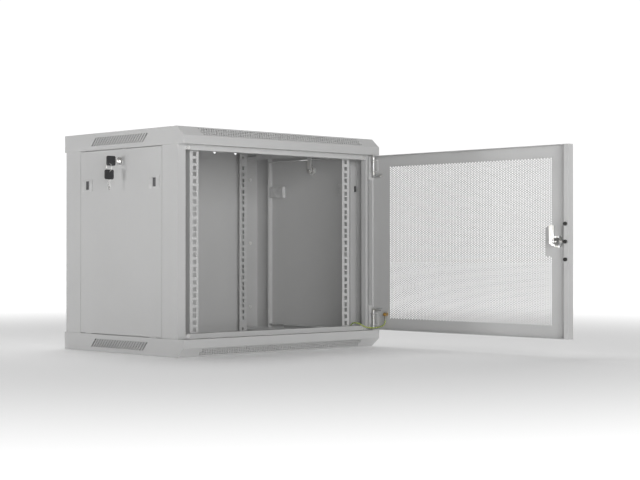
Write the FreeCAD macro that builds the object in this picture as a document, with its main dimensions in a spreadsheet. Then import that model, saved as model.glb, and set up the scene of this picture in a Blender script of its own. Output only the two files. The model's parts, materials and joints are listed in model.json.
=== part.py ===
import FreeCAD, Part
import math
import os
import re
import Sketcher
from FreeCAD import Placement, Rotation, Vector

# Wall-mount 19 inch network cabinet with its perforated front door standing open.
# Frame: X to the right, Y to the rear (wall), Z up; origin at the centre of the bottom face.
# The door and everything on it is designed in its closed place and then swung open about the hinge line.

os.makedirs("parts", exist_ok=True)
doc = FreeCAD.newDocument("NetworkCabinet")

# ---------------------------------------------------------------- sizes, millimetres and degrees
SIZES = (
    ("width", 600), ("depth", 450), ("units", 9), ("unit_pitch", 44.45), ("gauge", 1.2), ("fit", 0.2),
    ("running", 0.05), ("bite", 1),
    # top and bottom covers
    ("cover_rise", 39.5), ("bevel_run", 24), ("bevel_rise", 20.5), ("fascia_lip", 22), ("slot_count", 21),
    ("slot_pitch", 9.65), ("slot_rise", 19), ("slot_lean", 17.5), ("slot_width", 4.8), ("slot_base", 10),
    ("slot_shift", 10.5), ("vent_columns", 70), ("vent_pitch", 7), ("vent_hole", 2.35),
    ("wall_hole", 4.5), ("wall_near", 156), ("wall_far", 226), ("wall_rise", 16.5), ("cable_width", 300),
    ("cable_run", 60), ("cable_inset", 45), ("cable_overlap", 12), ("cable_screw_inset", 30),
    ("stud_radius", 3), ("stud_length", 12), ("stud_inset", 30),
    # frame
    ("post_setback", 23), ("post_face", 21.6), ("post_side", 55), ("post_return", 15),
    ("post_flange", 21), ("bevel_clear", 2), ("rear_inset", 4.2), ("rear_side", 58), ("rear_face", 36.6),
    ("rear_flange", 14), ("bar_rise", 11), ("bar_drop", 12), ("bar_depth", 20), ("bar_tab", 16),
    ("panel_side", 17.6), ("panel_lap", 2), ("panel_bolt_inset", 26.6), ("panel_bolt_rise", 45),
    ("tab_width", 26),
    # rack rails and the depth brackets that carry them
    ("rail_spacing", 465.1), ("rail_lip", 13.45), ("rail_inner", 11), ("rail_web", 17), ("rail_hem", 8),
    ("rail_gauge", 1.5), ("rail_setback", 24.2), ("rail_rear_gap", 19.4), ("rail_end", 17.5),
    ("square_hole", 9.5), ("first_hole", 6.35), ("hole_step", 15.875), ("end_hole", 3.2),
    ("end_hole_rise", 28.9), ("bracket_rise", 36), ("bracket_foot", 20.8), ("bracket_bolt_rise", 24),
    ("slot_ahead", 15), ("slot_travel", 45), ("slot_behind", 5), ("bolt_radius", 2.9), ("bolt_hole", 3.1),
    ("bolt_across", 10), ("bolt_head", 4), ("nut_height", 5), ("bolt_proud", 1),
    # small screws
    ("screw_radius", 2.4), ("screw_hole", 2.5), ("screw_head", 4.5), ("screw_head_rise", 2.6),
    ("screw_length", 8), ("screw_inset", 6.5), ("screw_drop", 4.5),
    # side panels with slide latches and a cam lock each
    ("fold", 12), ("side_gap", 1.3), ("hook_width", 24), ("hook_drop", 9), ("hook_inset", 32.9),
    ("latch_inset", 28.4), ("latch_drop", 79.6), ("latch_plate_y", 38), ("latch_plate_z", 28),
    ("latch_proud", 0.8), ("latch_body_y", 48), ("latch_depth", 9), ("latch_window_y", 13),
    ("latch_window_z", 20), ("latch_neck_y", 34), ("latch_neck_z", 25), ("latch_wall", 1.4),
    ("slider_y", 22), ("slider_z", 21), ("slider_travel", 9), ("tongue_z", 14), ("tongue_thick", 2),
    ("tongue_reach", 4), ("tongue_play", 0.6), ("rib_margin", 1), ("rib_width", 2), ("spring_wire", 0.35),
    ("spring_turns", 8), ("spring_radius", 1.7), ("spring_bore", 2.3), ("spring_bore_depth", 14),
    ("slider_clear", 0.35), ("lock_drop", 28.5), ("side_head", 8.5), ("side_head_proud", 4),
    ("barrel_radius", 7.5), ("barrel_reach", 9), ("lock_nut_across", 20), ("lock_nut_height", 4),
    ("plug_radius", 5), ("cam_width", 13), ("cam_length", 35), ("cam_thick", 2), ("cam_stub", 2.9),
    ("cam_bore", 3), ("cam_clip", 4.2), ("cam_notch_margin", 3), ("keyway_rise", 6.4),
    ("keyway_thick", 1.6), ("keyway_depth", 11), ("key_gap", 1),
    # keys on a ring
    ("blade_rise", 6), ("blade_thick", 1.3), ("blade_out", 9), ("blade_length", 24), ("bow_run", 24),
    ("bow_rise", 22), ("bow_thick", 3), ("bow_corner", 4), ("bow_hole", 3), ("bow_hole_inset", 5),
    ("ring_radius", 9.5), ("ring_wire", 0.8), ("ring_offset", 7),
    # door
    ("door_side_gap", 1), ("door_gap", 2), ("door_recess", 1.5), ("door_thick", 17), ("door_lip", 12),
    ("door_open", 90), ("hinge_inset", 9.5), ("mesh_side", 54.2), ("mesh_end", 66.5), ("lock_pad", 18),
    ("lock_pad_rise", 28), ("notch_rise", 58),
    # spring-loaded hinge pins
    ("pin_radius", 3), ("pin_length", 59), ("pin_reach", 4.3), ("pin_foot", 26), ("pin_wall_hole", 3.4),
    ("collar_radius", 4.8), ("collar_thick", 2.2), ("collar_gap", 0.3), ("ear_thick", 1.5),
    ("ear_top", 10.5), ("ear_spacing", 26.5), ("bracket_width", 16), ("bracket_back", 1.5),
    ("pin_spring_wire", 0.5), ("pin_spring_radius", 4), ("pin_spring_turns", 7),
    # door lock, buffers and the earth connection
    ("door_lock_inset", 39), ("door_head", 11), ("door_head_proud", 1.4), ("door_barrel", 9),
    ("door_barrel_reach", 19.5), ("door_nut_across", 24), ("door_plug", 6), ("cam_gap", 0.4),
    ("keeper_low", 10), ("keeper_high", 39), ("buffer_radius", 4), ("buffer_thick", 4.1),
    ("buffer_inset", 7), ("buffer_spacing", 38.2), ("earth_inset", 47), ("earth_rise", 78),
    ("earth_stud", 2.5), ("earth_length", 11), ("earth_nut_across", 8), ("earth_nut_height", 4),
    ("lug_radius", 5), ("lug_thick", 0.9), ("lug_barrel", 9), ("cabinet_stud_back", 65.8),
    ("tail_lift", 0.5), ("wire_radius", 1.5),
)

sizes = doc.addObject("Spreadsheet::Sheet", "Sizes")
for row, (alias, value) in enumerate(SIZES, start=1):
    sizes.set(f"A{row}", alias)
    sizes.set(f"B{row}", str(value))
    sizes.setAlias(f"B{row}", alias)
doc.recompute()
NAMES = {alias for alias, _ in SIZES}


def sized(expression):
    """The expression with each size's name pointing at its cell."""

    def cell(word):
        return "Sizes." + word[0] if word[0] in NAMES else word[0]

    return re.sub(r"[a-z]+(?:_[a-z]+)*", cell, expression)


def size(alias):
    """A size as a plain number, for shapes that are made in code."""
    return float(sizes.get(alias))


# ---------------------------------------------------------------- places worked out from the sizes
HEIGHT = "(2 * (cover_rise + bar_rise) + units * unit_pitch)"
COVER_TOP = f"({HEIGHT} - cover_rise)"
SIDE = "(width / 2 - gauge - fit)"
FRONT = "(-depth / 2 + post_setback)"
FLANGE = f"({FRONT} + post_side)"
REAR = "(depth / 2 - rear_inset)"
REAR_FLANGE = f"({REAR} - rear_side)"
POST_IN = f"({SIDE} - post_face)"
RAIL_OUT = "(rail_spacing / 2 + rail_lip)"
RAIL_FRONT = f"({FRONT} + rail_setback)"
RAIL_REAR = f"({REAR} - rail_rear_gap)"
PANEL_MID = f"(({FLANGE} + {REAR_FLANGE}) / 2)"
LATCH_Y = f"({FLANGE} + latch_inset)"
LATCH_Z = f"({COVER_TOP} - latch_drop)"
LOCK_Z = f"({COVER_TOP} - lock_drop)"
SKIN_IN = f"({SIDE} - gauge)"
DOOR_HALF = "(width / 2 - door_side_gap)"
DOOR_FRONT = "(-depth / 2 + door_recess)"
DOOR_BACK = f"({DOOR_FRONT} + door_thick)"
DOOR_LOW = "(cover_rise + door_gap)"
DOOR_HIGH = f"({COVER_TOP} - door_gap)"
HINGE_X = "(width / 2 - hinge_inset)"
HINGE_Y = f"({DOOR_FRONT} + door_thick / 2)"
MESH_X = "(width / 2 - mesh_side)"
MESH_LOW = "mesh_end"
MESH_HIGH = f"({HEIGHT} - mesh_end)"
MIDDLE = f"({HEIGHT} / 2)"
LOCK_X = "(-(width / 2 - door_lock_inset - door_side_gap))"
CAM_Y = f"({FRONT} + gauge + cam_gap)"

# ---------------------------------------------------------------- small building blocks
TURNS = {
    "x": Rotation(Vector(0, 1, 0), 90),
    "y": Rotation(Vector(1, 0, 0), -90),
    "z": Rotation(),
}
nodes = []


def bind(thing, prop, expression):
    thing.setExpression(prop, sized(expression))


def place(thing, x, y, z):
    for axis, expression in zip("xyz", (x, y, z)):
        bind(thing, f"Placement.Base.{axis}", expression)
    return thing


def box(x, y, z):
    """A box from three (low, high) pairs."""
    block = doc.addObject("Part::Box", "Block")
    for prop, (low, high) in zip(("Length", "Width", "Height"), (x, y, z)):
        bind(block, prop, f"({high}) - ({low})")
    return place(block, x[0], y[0], z[0])


def rod(axis, start, radius, length):
    round_bar = doc.addObject("Part::Cylinder", "Rod")
    round_bar.Placement = Placement(Vector(), TURNS[axis])
    bind(round_bar, "Radius", radius)
    bind(round_bar, "Height", length)
    return place(round_bar, *start)


def hexagon(axis, start, across, height):
    prism = doc.addObject("Part::Prism", "Hexagon")
    prism.Polygon = 6
    prism.Placement = Placement(Vector(), TURNS[axis])
    bind(prism, "Circumradius", f"({across}) / sqrt(3)")
    bind(prism, "Height", height)
    return place(prism, *start)


def fused(pieces):
    joined = doc.addObject("Part::MultiFuse", "Joined")
    joined.Shapes = pieces
    joined.Refine = True
    return joined


def cut(base, tools):
    trimmed = doc.addObject("Part::Cut", "Trimmed")
    trimmed.Base = base
    trimmed.Tool = tools[0] if len(tools) == 1 else fused(tools)
    return trimmed


def group(pieces):
    several = doc.addObject("Part::Compound", "Several")
    several.Links = pieces
    return several


def mirrored(source, axis, at="0"):
    """A mirror image across the plane that stands at a place on one axis."""
    image = doc.addObject("Part::Mirroring", "Image")
    image.Source = source
    image.Normal = Vector(*(float(axis == name) for name in "xyz"))
    bind(image, f"Base.{axis}", at)
    return image


def pair(source, axis, at="0"):
    return group([source, mirrored(source, axis, at)])


def node(label, thing):
    thing.Label = label
    nodes.append(thing)
    return thing


def swung(label, thing):
    """The piece as a node, turned with the open door about the hinge line."""
    opened = group([thing])
    opened.Placement = Placement(Vector(), Rotation(Vector(0, 0, 1), size("door_open")))
    bind(opened, "Placement.Rotation.Angle", "door_open")
    place(
        opened,
        f"{HINGE_X} - {HINGE_X} * cos(door_open * 1deg) + {HINGE_Y} * sin(door_open * 1deg)",
        f"{HINGE_Y} - {HINGE_X} * sin(door_open * 1deg) - {HINGE_Y} * cos(door_open * 1deg)",
        "0",
    )
    return node(label, opened)


# ---------------------------------------------------------------- sketched bodies
def new_body():
    return doc.addObject("PartDesign::Body", "Body")


def sketch(body, plane):
    drawing = body.newObject("Sketcher::SketchObject", "Sketch")
    origin_plane = next(feature for feature in body.Origin.OriginFeatures if feature.Role == plane)
    drawing.AttachmentSupport = [(origin_plane, "")]
    drawing.MapMode = "FlatFace"
    return drawing


def fix_point(drawing, geometry, point, u, v):
    """Ties a point of the sketch to two expressions, counted from the sketch's origin."""
    for kind, expression in (("DistanceX", u), ("DistanceY", v)):
        index = drawing.addConstraint(Sketcher.Constraint(kind, -1, 1, geometry, point, 1.0))
        bind(drawing, f"Constraints[{index}]", expression)


def polygon(drawing, points):
    """A closed outline with straight sides; each corner is a pair of expressions."""
    first = drawing.GeometryCount
    count = len(points)
    turns = [2 * math.pi * i / count for i in range(count)]
    ring = [Vector(math.cos(turn), math.sin(turn), 0) for turn in turns]
    for i in range(count):
        drawing.addGeometry(Part.LineSegment(ring[i], ring[(i + 1) % count]))
    for i in range(count):
        drawing.addConstraint(Sketcher.Constraint("Coincident", first + i, 2, first + (i + 1) % count, 1))
    for i, (u, v) in enumerate(points):
        fix_point(drawing, first + i, 1, u, v)


def rectangle(drawing, u, v):
    polygon(drawing, [(u[0], v[0]), (u[1], v[0]), (u[1], v[1]), (u[0], v[1])])


def circle(drawing, u, v, radius):
    index = drawing.addGeometry(Part.Circle(Vector(), Vector(0, 0, 1), 1.0))
    fix_point(drawing, index, 3, u, v)
    radius_index = drawing.addConstraint(Sketcher.Constraint("Radius", index, 1.0))
    bind(drawing, f"Constraints[{radius_index}]", radius)


def pad(body, drawing, length, symmetric=False, reverse=False):
    feature = body.newObject("PartDesign::Pad", "Pad")
    feature.Profile = drawing
    feature.SideType = "Symmetric" if symmetric else "One side"
    feature.Reversed = reverse
    bind(feature, "Length", length)
    return feature


def pocket(body, drawing, length, symmetric=True):
    feature = body.newObject("PartDesign::Pocket", "Pocket")
    feature.Profile = drawing
    feature.SideType = "Symmetric" if symmetric else "One side"
    bind(feature, "Length", length)
    return feature


def row_of(body, feature, drawing, direction, length, count):
    """Repeats a feature along one axis of its own sketch."""
    pattern = body.newObject("PartDesign::LinearPattern", "Row")
    pattern.Originals = [feature]
    pattern.Direction = (drawing, [direction])
    bind(pattern, "Length", length)
    bind(pattern, "Occurrences", count)
    body.Tip = pattern
    return pattern


# ---------------------------------------------------------------- covers
def cover():
    """A folded tray: plate, side and rear walls, bevelled front edge with a fascia and an in-turned lip."""
    body = new_body()
    side = sketch(body, "YZ_Plane")
    polygon(side, [
        ("depth / 2", "0"),
        ("-depth / 2 + bevel_run", "0"),
        ("-depth / 2", "bevel_rise"),
        ("-depth / 2", "cover_rise"),
        ("depth / 2", "cover_rise"),
    ])
    pad(body, side, "width", symmetric=True)
    slope = "sqrt(bevel_run * bevel_run + bevel_rise * bevel_rise)"
    hollow = sketch(body, "YZ_Plane")
    polygon(hollow, [
        ("depth / 2 - gauge", "gauge"),
        (f"-depth / 2 + bevel_run + gauge * ({slope} - bevel_run) / bevel_rise", "gauge"),
        ("-depth / 2 + gauge", f"bevel_rise + gauge * ({slope} - bevel_rise) / bevel_run"),
        ("-depth / 2 + gauge", "cover_rise + gauge"),
        ("depth / 2 - gauge", "cover_rise + gauge"),
    ])
    pocket(body, hollow, "width - 2 * gauge")
    lip = sketch(body, "YZ_Plane")
    rectangle(lip, ("-depth / 2", "-depth / 2 + fascia_lip"), ("cover_rise - gauge", "cover_rise"))
    pad(body, lip, "width - 2 * gauge", symmetric=True)
    cover_slots(body, "1")
    cover_slots(body, "-1")
    cover_vent(body)
    cover_holes(body)
    cover_studs(body)
    return body


def cover_slots(body, side):
    """A row of slanted vent slots in one side wall; the two walls lean opposite ways."""
    slot = sketch(body, "YZ_Plane")
    slot.AttachmentOffset = Placement(Vector(0, 0, 1), Rotation())
    bind(slot, "AttachmentOffset.Base.z", f"{side} * width / 2")
    start = "slot_shift - (slot_count - 1) * slot_pitch / 2"
    low = f"{start} - {side} * slot_lean / 2"
    high = f"{start} + {side} * slot_lean / 2"
    polygon(slot, [
        (f"{low} - slot_width / 2", "slot_base"),
        (f"{low} + slot_width / 2", "slot_base"),
        (f"{high} + slot_width / 2", "slot_base + slot_rise"),
        (f"{high} - slot_width / 2", "slot_base + slot_rise"),
    ])
    feature = pocket(body, slot, "4 * gauge")
    row_of(body, feature, slot, "H_Axis", "slot_pitch * (slot_count - 1)", "slot_count")


def cover_vent(body):
    """Four staggered rows of round holes punched through the bevelled edge."""
    vent = sketch(body, "XZ_Plane")
    vent.AttachmentOffset = Placement(Vector(0, 1, 1), Rotation(Vector(1, 0, 0), 45))
    bind(vent, "AttachmentOffset.Base.y", "bevel_rise / 2")
    bind(vent, "AttachmentOffset.Base.z", "depth / 2 - bevel_run / 2")
    bind(vent, "AttachmentOffset.Rotation.Angle", "atan(bevel_run / bevel_rise)")
    start = "-(vent_columns - 0.5) * vent_pitch / 2"
    step = "vent_pitch * sqrt(3) / 2"
    for row_number in range(4):
        across = start if row_number % 2 else f"{start} + vent_pitch / 2"
        circle(vent, across, f"({row_number} - 1.5) * {step}", "vent_hole")
    feature = pocket(body, vent, "5 * gauge")
    row_of(body, feature, vent, "H_Axis", "vent_pitch * (vent_columns - 1)", "vent_columns")


def cover_holes(body):
    """Wall holes in the rear wall, hinge holes at both ends of the lip and the cable entry."""
    wall = sketch(body, "XZ_Plane")
    wall.AttachmentOffset = Placement(Vector(0, 0, -1), Rotation())
    bind(wall, "AttachmentOffset.Base.z", "-depth / 2")
    for across in ("wall_near", "wall_far", "-wall_near", "-wall_far"):
        circle(wall, across, "wall_rise", "wall_hole")
    pocket(body, wall, "4 * gauge")
    hinge = sketch(body, "XY_Plane")
    hinge.AttachmentOffset = Placement(Vector(0, 0, 1), Rotation())
    bind(hinge, "AttachmentOffset.Base.z", "cover_rise")
    for side in ("1", "-1"):
        circle(hinge, f"{side} * {HINGE_X}", HINGE_Y, "pin_radius + running")
    pocket(body, hinge, "4 * gauge")
    entry = sketch(body, "XY_Plane")
    rectangle(
        entry,
        ("-cable_width / 2", "cable_width / 2"),
        ("depth / 2 - cable_inset - cable_run", "depth / 2 - cable_inset"),
    )
    pocket(body, entry, "4 * gauge")
    for x, y in cable_screw_places():
        hole = sketch(body, "XY_Plane")
        circle(hole, x, y, "screw_hole")
        pocket(body, hole, "4 * gauge")


def cable_screw_places():
    near = "depth / 2 - cable_inset - cable_run - cable_overlap / 2"
    far = "depth / 2 - cable_inset + cable_overlap / 2"
    across = "(cable_width / 2 - cable_screw_inset)"
    return [(f"{side} * {across}", y) for side in ("1", "-1") for y in (near, far)]


STUD_X = f"({SIDE} - post_face / 2)"
STUD_FRONT = f"({FRONT} + stud_inset)"
STUD_REAR = f"({REAR} - stud_inset)"


def cover_studs(body):
    """Threaded weld studs that hold the feet of the four posts."""
    studs = sketch(body, "XY_Plane")
    for side in ("1", "-1"):
        for y in (STUD_FRONT, STUD_REAR):
            circle(studs, f"{side} * {STUD_X}", y, "stud_radius")
    pad(body, studs, "stud_length")


bottom_cover = node("bottom_cover", cover())
# The top cover is the same pressing, turned over from side to side.
top_cover = node("top_cover", group([bottom_cover]))
top_cover.Placement = Placement(Vector(), Rotation(Vector(0, 1, 0), 180))
place(top_cover, "0", "0", HEIGHT)


# ---------------------------------------------------------------- posts
def both_ends(piece):
    """The piece and its mirror image about the cabinet's middle height."""
    return [piece, mirrored(piece, "z", MIDDLE)]


def latch_slot(y_low, y_high):
    """The hole that a latch tongue passes through."""
    half = "(tongue_z / 2 + tongue_play)"
    return box(
        (f"{TONGUE_X} - tongue_play", f"{TONGUE_X} + tongue_thick + tongue_play"),
        (y_low, y_high),
        (f"{LATCH_Z} - {half}", f"{LATCH_Z} + {half}"),
    )


TONGUE_X = f"({SIDE} - gauge - latch_depth / 2 - tongue_thick / 2)"
POST_Z = ("gauge + fit", f"{HEIGHT} - gauge - fit")


def foot(y):
    """A post's foot tab, with the hole for its stud."""
    tab = box(
        (f"{POST_IN} + gauge", SIDE),
        (f"{y} - tab_width / 2", f"{y} + tab_width / 2"),
        ("gauge + fit", "2 * gauge + fit"),
    )
    return tab


def stud_holes(y):
    hole = rod("z", (STUD_X, y, "0"), "stud_radius + fit", "8 * gauge")
    return both_ends(hole)


def front_post():
    plates = [
        box((POST_IN, SIDE), (FRONT, f"{FRONT} + gauge"), POST_Z),
        box((f"{SIDE} - gauge", SIDE), (FRONT, FLANGE), POST_Z),
        box((POST_IN, f"{POST_IN} + gauge"), (FRONT, f"{FRONT} + post_return"), POST_Z),
        box((f"{SIDE} - post_flange", SIDE), (f"{FLANGE} - gauge", FLANGE), POST_Z),
    ]
    bar_end = box(
        (f"{POST_IN} - bar_tab", f"{POST_IN} + gauge"),
        (f"{FRONT} + gauge", f"{FRONT} + 2 * gauge"),
        ("cover_rise - bar_drop", "cover_rise + bar_rise - gauge"),
    )
    plates += both_ends(foot(STUD_FRONT)) + both_ends(bar_end)
    corner = box(
        (f"{POST_IN} - gauge", f"{SIDE} + gauge"),
        (f"{FRONT} - gauge", f"{FRONT} + 2 * gauge"),
        ("0", "gauge + fit + bevel_clear"),
    )
    holes = stud_holes(STUD_FRONT) + both_ends(bar_screw_hole()) + both_ends(corner)
    holes.append(latch_slot(f"{FLANGE} - 3 * gauge", f"{FLANGE} + 3 * gauge"))
    return cut(fused(plates), holes)


BAR_SCREW = (f"{POST_IN} - screw_inset", "cover_rise + bar_rise - screw_drop")


def bar_screw_hole():
    return rod("y", (BAR_SCREW[0], f"{FRONT} - gauge", BAR_SCREW[1]), "screw_hole", "6 * gauge")


def rear_post():
    plates = [
        box((f"{SIDE} - gauge", SIDE), (REAR_FLANGE, REAR), POST_Z),
        box((f"{SIDE} - rear_face", SIDE), (f"{REAR} - gauge", REAR), POST_Z),
        box((f"{SIDE} - rear_flange", SIDE), (REAR_FLANGE, f"{REAR_FLANGE} + gauge"), POST_Z),
    ]
    plates += both_ends(foot(STUD_REAR))
    holes = stud_holes(STUD_REAR) + panel_bolt_holes()
    holes.append(mirrored(latch_slot(f"{FLANGE} - 3 * gauge", f"{FLANGE} + 3 * gauge"), "y", PANEL_MID))
    return cut(fused(plates), holes)


PANEL_BOLT_X = f"({SIDE} - panel_bolt_inset)"


def panel_bolt_heights():
    low = "cover_rise + panel_bolt_rise"
    return [low, MIDDLE, f"{HEIGHT} - {low.replace(' + ', ' - ')}"]


def panel_bolt_holes():
    return [
        rod("y", (PANEL_BOLT_X, f"{REAR} - 3 * gauge", z), "screw_hole", "8 * gauge")
        for z in panel_bolt_heights()
    ]


post_right = front_post()
node("front_post_right", post_right)
keeper_slot = box(
    (f"-{POST_IN} - 3 * gauge", f"-{POST_IN} + 3 * gauge"),
    (f"{CAM_Y} - cam_gap", f"{CAM_Y} + 3 * cam_thick"),
    (f"{MIDDLE} - keeper_low", f"{MIDDLE} + keeper_high"),
)
node("front_post_left", cut(mirrored(post_right, "x"), [keeper_slot]))
back_post_right = node("rear_post_right", rear_post())
node("rear_post_left", mirrored(back_post_right, "x"))


# ---------------------------------------------------------------- crossbars
def crossbar():
    """An L-shaped bar between the front posts, sketched as its section."""
    body = new_body()
    section = sketch(body, "YZ_Plane")
    top = "cover_rise + bar_rise"
    polygon(section, [
        (FRONT, "cover_rise - bar_drop"),
        (f"{FRONT} + gauge", "cover_rise - bar_drop"),
        (f"{FRONT} + gauge", f"{top} - gauge"),
        (f"{FRONT} + bar_depth", f"{top} - gauge"),
        (f"{FRONT} + bar_depth", top),
        (FRONT, top),
    ])
    pad(body, section, f"2 * ({POST_IN} - fit)", symmetric=True)
    holes = sketch(body, "XZ_Plane")
    bind(holes, "AttachmentOffset.Base.z", f"-({FRONT})")
    for side in ("1", "-1"):
        circle(holes, f"{side} * ({BAR_SCREW[0]})", BAR_SCREW[1], "screw_hole")
    pocket(body, holes, "4 * gauge")
    return body


bar_bottom = node("front_crossbar_bottom", crossbar())
node("front_crossbar_top", mirrored(bar_bottom, "z", MIDDLE))


# ---------------------------------------------------------------- rear panel
rear_plate = box(
    (f"-({SIDE} - panel_side)", f"{SIDE} - panel_side"),
    (REAR, f"{REAR} + gauge"),
    ("cover_rise - panel_lap", f"{COVER_TOP} + panel_lap"),
)
rear_holes = panel_bolt_holes()
node("rear_panel", cut(rear_plate, rear_holes + [mirrored(hole, "x") for hole in rear_holes]))


# ---------------------------------------------------------------- rack rails
def rail(front_face):
    """A folded upright with three square holes in every unit and a round hole at each end."""
    body = new_body()
    section = sketch(body, "XY_Plane")
    bind(section, "AttachmentOffset.Base.z", "rail_end")
    outer = RAIL_OUT
    back = f"{front_face} + rail_web"
    polygon(section, [
        ("rail_spacing / 2 - rail_inner", front_face),
        (outer, front_face),
        (outer, back),
        (f"{outer} - rail_hem", back),
        (f"{outer} - rail_hem", f"{back} - rail_gauge"),
        (f"{outer} - rail_gauge", f"{back} - rail_gauge"),
        (f"{outer} - rail_gauge", f"{front_face} + rail_gauge"),
        ("rail_spacing / 2 - rail_inner", f"{front_face} + rail_gauge"),
    ])
    pad(body, section, f"{HEIGHT} - 2 * rail_end")
    ends = sketch(body, "XZ_Plane")
    bind(ends, "AttachmentOffset.Base.z", f"-({front_face})")
    circle(ends, "rail_spacing / 2", "end_hole_rise", "end_hole")
    circle(ends, "rail_spacing / 2", f"{HEIGHT} - end_hole_rise", "end_hole")
    pocket(body, ends, "4 * rail_gauge")
    bolts = sketch(body, "YZ_Plane")
    bind(bolts, "AttachmentOffset.Base.z", outer)
    bolt_y = f"{front_face} + rail_web / 2"
    circle(bolts, bolt_y, "bracket_bolt_rise", "bolt_hole")
    circle(bolts, bolt_y, f"{HEIGHT} - bracket_bolt_rise", "bolt_hole")
    pocket(body, bolts, "4 * rail_gauge")
    squares = sketch(body, "XZ_Plane")
    bind(squares, "AttachmentOffset.Base.z", f"-({front_face})")
    half = "square_hole / 2"
    for number in range(3):
        height = f"cover_rise + bar_rise + first_hole + {number} * hole_step"
        rectangle(
            squares,
            (f"rail_spacing / 2 - {half}", f"rail_spacing / 2 + {half}"),
            (f"{height} - {half}", f"{height} + {half}"),
        )
    feature = pocket(body, squares, "4 * rail_gauge")
    row_of(body, feature, squares, "V_Axis", "unit_pitch * (units - 1)", "units")
    return body


for place_name, face in (("front", RAIL_FRONT), ("rear", RAIL_REAR)):
    right_rail = node(f"rack_rail_{place_name}_right", rail(face))
    node(f"rack_rail_{place_name}_left", mirrored(right_rail, "x"))


# ---------------------------------------------------------------- depth brackets
def depth_bracket():
    """A runner, welded to the cover by its foot, whose slots let the rails move in depth."""
    plate_x = (f"{RAIL_OUT} + fit", f"{RAIL_OUT} + fit + rail_gauge")
    run = (f"{FRONT} + 3 * gauge", f"{REAR} - 2 * gauge")
    web = box(plate_x, run, ("gauge", "bracket_rise"))
    sole = box((plate_x[0], f"{plate_x[0]} + bracket_foot"), run, ("gauge", "gauge + rail_gauge"))
    slots = [
        box(
            (f"{plate_x[0]} - rail_gauge", f"{plate_x[1]} + rail_gauge"),
            (f"{face} + rail_web / 2 - {ahead}", f"{face} + rail_web / 2 + {behind}"),
            ("bracket_bolt_rise - bolt_hole", "bracket_bolt_rise + bolt_hole"),
        )
        for face, ahead, behind in (
            (RAIL_FRONT, "slot_ahead", "slot_travel"),
            (RAIL_REAR, "slot_travel", "slot_behind"),
        )
    ]
    return cut(fused([web, sole]), slots)


runner = node("depth_bracket_bottom_right", depth_bracket())
node("depth_bracket_bottom_left", mirrored(runner, "x"))
upper_runner = node("depth_bracket_top_right", mirrored(runner, "z", MIDDLE))
node("depth_bracket_top_left", mirrored(upper_runner, "x"))


# ---------------------------------------------------------------- fasteners of the frame
def rail_bolt(face):
    """A hex bolt through the rail and the slot of its bracket, with its nut outside."""
    y = f"{face} + rail_web / 2"
    inner = f"{RAIL_OUT} - rail_gauge"
    outer = f"{RAIL_OUT} + fit + rail_gauge"
    shank = f"{outer} - ({inner}) + nut_height + bolt_proud"
    bolt = fused([
        hexagon("x", (f"{inner} - bolt_head", y, "bracket_bolt_rise"), "bolt_across", "bolt_head"),
        rod("x", (inner, y, "bracket_bolt_rise"), "bolt_radius", shank),
    ])
    nut = cut(
        hexagon("x", (outer, y, "bracket_bolt_rise"), "bolt_across", "nut_height"),
        [rod("x", (f"{outer} - bite", y, "bracket_bolt_rise"), "bolt_radius", "nut_height + 2 * bite")],
    )
    return group([bolt, nut])


def four_corners(piece):
    """The piece and its images on the other side and at the other end of the height."""
    return pair(pair(piece, "x"), "z", MIDDLE)


node("rail_bolts", group([four_corners(rail_bolt(RAIL_FRONT)), four_corners(rail_bolt(RAIL_REAR))]))


def post_nut(y):
    seat = "2 * gauge + fit"
    return cut(
        hexagon("z", (STUD_X, y, seat), "bolt_across", "nut_height"),
        [rod("z", (STUD_X, y, "0"), "stud_radius", "2 * stud_length")],
    )


node("post_nuts", group([four_corners(post_nut(STUD_FRONT)), four_corners(post_nut(STUD_REAR))]))


def pan_screw(axis, seat, along, length):
    """A pan-head screw; along is +1 or -1, the way its shank points."""
    head_start = list(seat)
    shank_start = list(seat)
    index = "xyz".index(axis)
    if along > 0:
        head_start[index] = f"{seat[index]} - screw_head_rise"
    else:
        shank_start[index] = f"{seat[index]} - ({length})"
    return fused([
        rod(axis, head_start, "screw_head", "screw_head_rise"),
        rod(axis, shank_start, "screw_radius", length),
    ])


bar_screw = pan_screw("y", (BAR_SCREW[0], FRONT, BAR_SCREW[1]), 1, "screw_length")
plate_screws = [
    pan_screw("z", (x, y, "2 * gauge"), -1, "2 * gauge - fit") for x, y in cable_screw_places()
]
node("pan_head_screws", group([four_corners(bar_screw), pair(group(plate_screws), "z", MIDDLE)]))

panel_screws = [
    pan_screw("y", (PANEL_BOLT_X, f"{REAR} - gauge", z), 1, "4 * gauge") for z in panel_bolt_heights()
]
node("rear_panel_screws", pair(group(panel_screws), "x"))


# ---------------------------------------------------------------- cable entry plates
def cable_plate():
    """A plate that closes the cable entry from inside the cover."""
    plate = box(
        ("-cable_width / 2 - cable_overlap", "cable_width / 2 + cable_overlap"),
        ("depth / 2 - cable_inset - cable_run - cable_overlap", "depth / 2 - cable_inset + cable_overlap"),
        ("gauge", "2 * gauge"),
    )
    return cut(plate, [rod("z", (x, y, "0"), "screw_hole", "4 * gauge") for x, y in cable_screw_places()])


entry_plate = node("cable_entry_plate_bottom", cable_plate())
node("cable_entry_plate_top", mirrored(entry_plate, "z", MIDDLE))

# ---------------------------------------------------------------- side panels
PANEL_Y = (f"{FLANGE} + side_gap", f"{REAR_FLANGE} - side_gap")
PANEL_Z = ("cover_rise + side_gap", f"{COVER_TOP} - side_gap")
LOCK_FACE = f"({SIDE} + side_head_proud)"


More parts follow.
